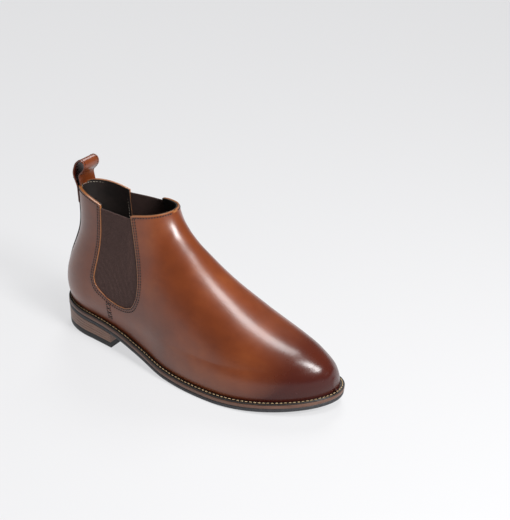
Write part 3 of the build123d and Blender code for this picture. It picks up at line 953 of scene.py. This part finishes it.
def make_midsole():
    """Brown layer under the welt, its edge rounded."""
    rounding = ((1.0, 0.0), (0.45, 0.12), (0.12, 0.5), (0, 1.3))
    levels = [(inset, above(WELT_FOOT - max(drop, 0.02))) for inset, drop in rounding]
    levels += [(inset, above(MIDSOLE_FOOT + rise)) for inset, rise in
               ((0, 1.2), (0.12, 0.5), (0.45, 0.12), (1.0, 0.0))]
    midsole = slab("midsole_edge", SOLE_STATIONS, levels, midsole_brown)
    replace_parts(midsole, "midsole")


def tread(x):
    """Rise of the outsole's underside inside the grooves."""
    near = np.min(np.abs(x[:, None] - TREAD_PLACES), axis=1)
    return TREAD_DEPTH * (near < TREAD_WIDTH / 2)


def make_outsole():
    """Grey rubber layer with shallow grooves across the forefoot."""
    walls = np.array([c + s * (TREAD_WIDTH / 2 + e) for c in TREAD_PLACES for s in (-1, 1)
                      for e in (-TREAD_WALL, TREAD_WALL)])
    walls = (walls - OUTSOLE_EDGE) * SOLE_LENGTH / (SOLE_LENGTH - 2 * OUTSOLE_EDGE)
    levels = [(inset, above(MIDSOLE_FOOT - drop)) for inset, drop in
              ((1.0, 0.02), (0.6, 0.1), (0.25, 0.45), (0.15, 1.1))]
    levels += [(inset, above(rise - SOLE_THICK)) for inset, rise in ((0.25, 1.3), (0.6, 0.5), (1.2, 0.1))]
    levels.append((OUTSOLE_EDGE, lambda x: feather(x) - SOLE_THICK + tread(x)))
    outsole = slab("outsole_slab", np.sort(np.concatenate([SOLE_STATIONS, walls])), levels, sole_grey)
    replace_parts(outsole, "outsole")


def lift_level(step):
    """Height of the flat joint above a heel lift by station."""
    if step == LIFT_COUNT:
        return above(-SOLE_THICK)

    def height(x):
        seat = HEEL_SEAT_BACK - SOLE_THICK + (HEEL_SEAT_BREAST - HEEL_SEAT_BACK) * x / BREAST_X
        return TOP_LIFT_THICK + (seat - TOP_LIFT_THICK) * step / LIFT_COUNT
    return height


def heel_inset(height):
    """How far the heel's side stands in from the sole's edge."""
    return HEEL_INSET - (HEEL_INSET - HEEL_INSET_TOP) * height / 26


def make_heel():
    """Stacked leather lifts with a fine line at each joint, on a rubber top lift."""
    stations = crowd(0, BREAST_X, 60, "start")
    for step in range(1, LIFT_COUNT + 1):
        under, over = lift_level(step - 1), lift_level(step)
        levels = []
        for share, ease in ((0.995, 0.25), (0.96, 0.08), (0.88, 0), (0.5, 0), (0.12, 0), (0.04, 0.08),
                            (0.005, 0.25)):
            middle = under(HEEL_MIDDLE) + (over(HEEL_MIDDLE) - under(HEEL_MIDDLE)) * share
            levels.append((heel_inset(middle) + ease,
                           lambda x, s=share, u=under, o=over: u(x) + (o(x) - u(x)) * s))
        lift = slab(f"stacked_lift_{step}", stations, levels, stack_brown, open_end=True)
        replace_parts(lift, f"heel_lift_{step}")
    side = ((TOP_LIFT_THICK - 0.03, 0.5), (6.55, 0.1), (6.1, 0), (1.2, 0), (0.5, 0.25), (0.12, 0.7), (0, 1.3))
    levels = [(heel_inset(z) + ease, lambda x, h=z: np.full(x.shape, h)) for z, ease in side]
    top_lift = slab("rubber_top_lift", stations, levels, rubber_black, open_end=True)
    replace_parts(top_lift, "top_lift")


def make_welt_stitches():
    """Tan running stitch along the welt's top, all the way round."""
    ring = sole_ring(STITCH_INSET, 0.02)

    def up(points):
        slope = feather(points[:, 0] + 0.5) - feather(points[:, 0] - 0.5)
        return unit(np.stack([-slope, np.zeros(len(slope)), np.ones(len(slope))], -1))

    line = np.concatenate([ring, ring[:1]])
    make_stitches("welt_stitching", [(line, up)], 4.1, WELT_STITCH, thread_tan)


# ---- pull tab

def tab_path():
    """Middle line of the strap in side view from the outer end, its left-hand normals, and run along it."""
    rear = float(back_edge(TAB_ROOT_Z)) - 1.3
    front = rear + LEATHER + 2.0
    outer = [(float(back_edge(z)) - 1.35, z) for z in (136, 141, 146, 151)]
    inner = [(float(back_edge(z)) + LEATHER + 0.7, z) for z in (153, 151)]
    loop = [(rear - 0.5, 157), (rear - 0.7, 163), (rear + 0.3, 170), (rear + 3.0, 176.6),
            (rear + 7.4, TAB_TOP - 1.1), (rear + 11.6, 178.6), (rear + 12.9, 174), (rear + 10.4, 169.3),
            (front + 2.6, 164.5), (front + 0.8, 158)]
    points = np.array(outer + loop + inner)
    run = run_along(points)
    fine = np.linspace(0, run[-1], 120)
    line = np.stack([curve(*zip(run, points[:, k]))(fine) for k in (0, 1)], -1)
    return line, left_of(line), fine


TAB_LINE, TAB_OUT, TAB_RUN = tab_path()


def strap_section():
    """Closed outline across the strap: shares of its half width and heights, with eased corners."""
    low_side, high_side = TAB_LOW + 0.22, TAB_HIGH - 0.22
    face = [-0.982, *np.linspace(-0.93, 0.93, 13), 0.982]
    section = [(-1, low_side), (-1, high_side), *((share, TAB_HIGH) for share in face)]
    section += [(1, high_side), (1, low_side), *((share, TAB_LOW) for share in reversed(face))]
    return np.array(section)


def strap(name, material):
    """Strap along the tab's middle line, wrapped on the back where it is sewn."""
    section = strap_section()
    across, rise = section[:, 0] * TAB_WIDTH / 2, section[:, 1]
    top = int(np.argmax(TAB_LINE[:, 1]))
    hug = 1 - smooth((TAB_LINE[:, 1] - 150) / 17)
    rows = []
    for i, ((x, z), out) in enumerate(zip(TAB_LINE, TAB_OUT)):
        depth = 0.0 if i < top else LEATHER
        flat = np.full(len(section), min(z, 153.0))
        bend = station_of_half(flat, np.abs(across), depth) - (back_edge(flat) + depth)
        rows.append(np.stack([x + out[0] * rise + hug[i] * bend, across, z + out[1] * rise], -1))
    rows = np.array(rows)
    count, cols = rows.shape[:2]
    faces = grid_faces(count, cols, wrap=True)
    faces.append(tuple(reversed(range(cols))))
    faces.append(tuple((count - 1) * cols + k for k in range(cols)))
    return new_object(name, rows.reshape(-1, 3), faces, material, body=None)


def facing_inwards(obj, points):
    """How far each vertex of the strap faces the inside of its loop."""
    heart = np.array([np.mean(TAB_LINE[TAB_LINE[:, 1] > 158, 0]), 168.0])
    away = unit(heart - points[:, (0, 2)])
    return np.array([v.normal.dot(Vector((x, 0, z))) for v, (x, z) in zip(obj.data.vertices, away)])


def blend_tab(obj):
    """Bakes the object's placement into its mesh."""
    x = (float(back_edge(TAB_ROOT_Z)) + INNER / 2 - MID_X) / 1000
    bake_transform(obj)


def make_tab_patch():
    """End of the strap that is sewn on the lining's face."""
    across = np.linspace(-1, 1, 21) * 10
    levels = np.linspace(151.2, 134.5, 24)
    points = []
    for depth in (INNER + 1.5, ON_LINING):
        for z in levels:
            flat = np.full(across.shape, z)
            x = station_of_half(flat, np.abs(across), depth)
            points += list(np.stack([x, upper_half(x, flat, depth)[1] + across, flat], -1))
    rows, cols = len(levels), len(across)
    sheet = rows * cols
    faces = grid_faces(rows, cols) + grid_faces(rows, cols, sheet)
    rim = list(range(cols)) + [i * cols + cols - 1 for i in range(1, rows)]
    rim += list(range(sheet - 2, sheet - cols - 1, -1)) + [i * cols for i in range(rows - 2, 0, -1)]
    for a, b in zip(rim, rim[1:] + rim[:1]):
        faces.append((a, b, b + sheet, a + sheet))
    patch = smooth_by_angle(new_object("pull_tab_patch", points, faces, lining_leather))
    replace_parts(patch, "pull_tab_inner_tail")


def make_tab():
    """Leather strap of the pull tab, darker on its rims and with painted shade inside its loop, with its
    inner end as a patch.
    """
    leather = strap("pull_tab_leather", tan_calf)
    blend_tab(leather)
    points = stations_of(leather)
    rim = smooth((np.abs(points[:, 1]) - (TAB_WIDTH / 2 - 0.8)) / 0.6)
    # Painted shade where the strap faces the inside of its loop
    under = smooth(facing_inwards(leather, points) * 1.5)
    tail = (points[:, 0] < float(back_edge(TAB_ROOT_Z))) * smooth((156 - points[:, 2]) / 5)
    add_mask(leather, "burnish_and_shade", np.clip(0.05 + rim * 0.4 + under * (1 - rim) + tail, 0, 1))
    add_mask(leather, "edge", np.zeros(len(points)))
    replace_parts(leather, "pull_tab", "pull_tab_outer_tail")
    make_tab_patch()


def make_tab_stitches():
    """A row of stitches along both edges of the loop."""
    keep = (TAB_RUN > 22) & (TAB_RUN < TAB_RUN[-1] - 3)
    normals = TAB_OUT[keep]
    x, z = (TAB_LINE[keep] + normals * (TAB_HIGH + 0.02)).T
    lines = []
    for side in (-1, 1):
        line = np.stack([x, np.full(len(x), side * (TAB_WIDTH / 2 - 2.0)), z], -1)

        def normal_at(points, line=line):
            nearest = [int(np.argmin(np.abs(line - p).sum(1))) for p in points]
            return np.stack([normals[nearest, 0], np.zeros(len(nearest)), normals[nearest, 1]], -1)

        lines.append((line, normal_at))
    stitches = make_stitches("pull_tab_stitching", lines, 2.6, TAB_STITCH, thread_dark, body=None)
    blend_tab(stitches)


# ---- CAD pieces that stay

def dress_cad():
    """Materials for the CAD nodes that are kept as they are."""
    wear = {"vamp_lining": lining_leather, "quarter_lining": lining_leather, "sock_liner": sock_leather,
            "insole_board": board, "toe_puff": board, "heel_counter": board, "bottom_filler": cork,
            "shank": steel, "heel_nails": steel, "top_lift_pins": brass}
    for name, material in wear.items():
        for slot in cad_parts[name].material_slots:
            slot.material = material


# ---- stage

# Brightness of the studio's walls and ceiling by the sine of the elevation
SKY = ((-0.3, 0.80), (-0.02, 0.45), (0.06, 0.16), (0.42, 0.13), (0.65, 0.10), (0.86, 0.10), (0.95, 0.5),
       (1.0, 0.8))
SKY_TINT = (0.97, 0.985, 1.0)
FLOOR_HALF = 4.0


def make_sky():
    """World light that changes with the elevation only."""
    world = bpy.data.worlds.new("studio")
    bpy.context.scene.world = world
    world.use_nodes = True
    tree = world.node_tree
    place = tree.nodes.new("ShaderNodeTexCoord")
    split = tree.nodes.new("ShaderNodeSeparateXYZ")
    shift = tree.nodes.new("ShaderNodeMath")
    shift.operation = "MULTIPLY_ADD"
    shift.inputs[1].default_value = 0.5
    shift.inputs[2].default_value = 0.5
    sky = tree.nodes.new("ShaderNodeValToRGB")
    elements = sky.color_ramp.elements
    while len(elements) < len(SKY):
        elements.new(0.5)
    for element, (rise, level) in zip(elements, SKY):
        element.position = (rise + 1) / 2
        element.color = (*(level * tint for tint in SKY_TINT), 1)
    tree.links.new(place.outputs["Generated"], split.inputs[0])
    tree.links.new(split.outputs[2], shift.inputs[0])
    tree.links.new(shift.outputs[0], sky.inputs[0])
    tree.links.new(sky.outputs[0], tree.nodes["Background"].inputs["Color"])


def make_floor():
    """Pale sweep, partly lit by itself so that it stays even."""
    mesh = bpy.data.meshes.new("floor")
    corners = [(x * FLOOR_HALF, y * FLOOR_HALF, 0) for x, y in ((-1, -1), (1, -1), (1, 1), (-1, 1))]
    mesh.from_pydata(corners, [], [(0, 1, 2, 3)])
    paint = Paint("pale_floor", 0.7, 0.1)
    for socket, value in (("Base Color", (0.20, 0.20, 0.202, 1)), ("Emission Color", (0.985, 0.985, 1.0, 1)),
                          ("Emission Strength", 0.63)):
        paint.shader.inputs[socket].default_value = value
    mesh.materials.append(paint.material)
    add_object("floor", mesh)


def softbox(name, direction, distance, target, size, power, along):
    """Area light that faces its target from a direction, its long side laid along another one."""
    light = bpy.data.lights.new(name, "AREA")
    light.shape = "RECTANGLE"
    light.size, light.size_y = size
    light.energy = power
    back = Vector(direction).normalized()
    side = Vector(along)
    side = (side - side.dot(back) * back).normalized()
    turn = Matrix((side, back.cross(side), back)).transposed()
    place = Matrix.Translation(Vector(target) + back * distance)
    add_object(name, light).matrix_world = place @ turn.to_4x4()


def make_lights():
    """Softboxes for the long highlight on the instep and the spot on the toe, and a wide sun from behind."""
    softbox("ridge_light", direction=(0.29, -0.06, 0.955), distance=1.3, target=(0.06, -0.02, 0.08),
            size=(0.44, 0.30), power=8.0, along=(0.1, 1, 0))
    softbox("toe_light", direction=(0.69, -0.17, 0.70), distance=1.2, target=(0.137, -0.005, 0.046),
            size=(0.34, 0.28), power=14.5, along=(0, 1, 0))
    light = bpy.data.lights.new("back_light", "SUN")
    light.energy = 1.0
    light.angle = math.radians(22)
    sun = add_object("back_light", light)
    sun.rotation_euler = Vector((-0.3, 0.6, 0.75)).to_track_quat("Z", "Y").to_euler()


YAW, PITCH, ROLL = (math.radians(a) for a in (119.58, 27.94, 3.97))
FOCAL = 1151.8 / 510         # focal length as a share of the picture's width
SENSOR = 36.0
LOOK_AT = (150.0, 0.0, 60.0)
EYE_OFFSET = (58.96, 44.23, -1126.5)         # of the eye from LOOK_AT along right, up and forward


def make_camera():
    """The photographed view: from the toe's outer side, looking down, with a slight roll."""
    forward = np.array([math.cos(YAW) * math.cos(PITCH), math.sin(YAW) * math.cos(PITCH), -math.sin(PITCH)])
    level = np.array([math.sin(YAW), -math.cos(YAW), 0.0])
    upright = np.cross(level, forward)
    right = math.cos(ROLL) * level + math.sin(ROLL) * upright
    up = math.cos(ROLL) * upright - math.sin(ROLL) * level
    eye = to_frame(LOOK_AT + np.dot(EYE_OFFSET, (right, up, forward)))
    data = bpy.data.cameras.new("camera")
    data.sensor_fit = "HORIZONTAL"
    data.sensor_width = SENSOR
    data.lens = SENSOR * FOCAL
    data.clip_start = 0.05
    camera = add_object("camera", data)
    turn = Matrix((right, up, -forward)).transposed()
    camera.matrix_world = Matrix.Translation(Vector(eye)) @ turn.to_4x4()
    bpy.context.scene.camera = camera


bpy.context.scene.view_settings.view_transform = "Standard"
make_camera()
make_sky()
make_floor()
make_lights()
make_vamp()
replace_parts(make_quarter(LATERAL, "quarter_lateral_leather"), "quarter_lateral")
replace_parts(make_quarter(MEDIAL, "quarter_medial_leather"), "quarter_medial")
make_backstay()
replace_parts(make_gore(LATERAL, "gore_lateral_elastic"), "gore_lateral")
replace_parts(make_gore(MEDIAL, "gore_medial_elastic"), "gore_medial")
make_upper_stitches()
make_collar()
make_welt()
make_midsole()
make_outsole()
make_heel()
make_welt_stitches()
make_tab()
make_tab_stitches()
dress_cad()
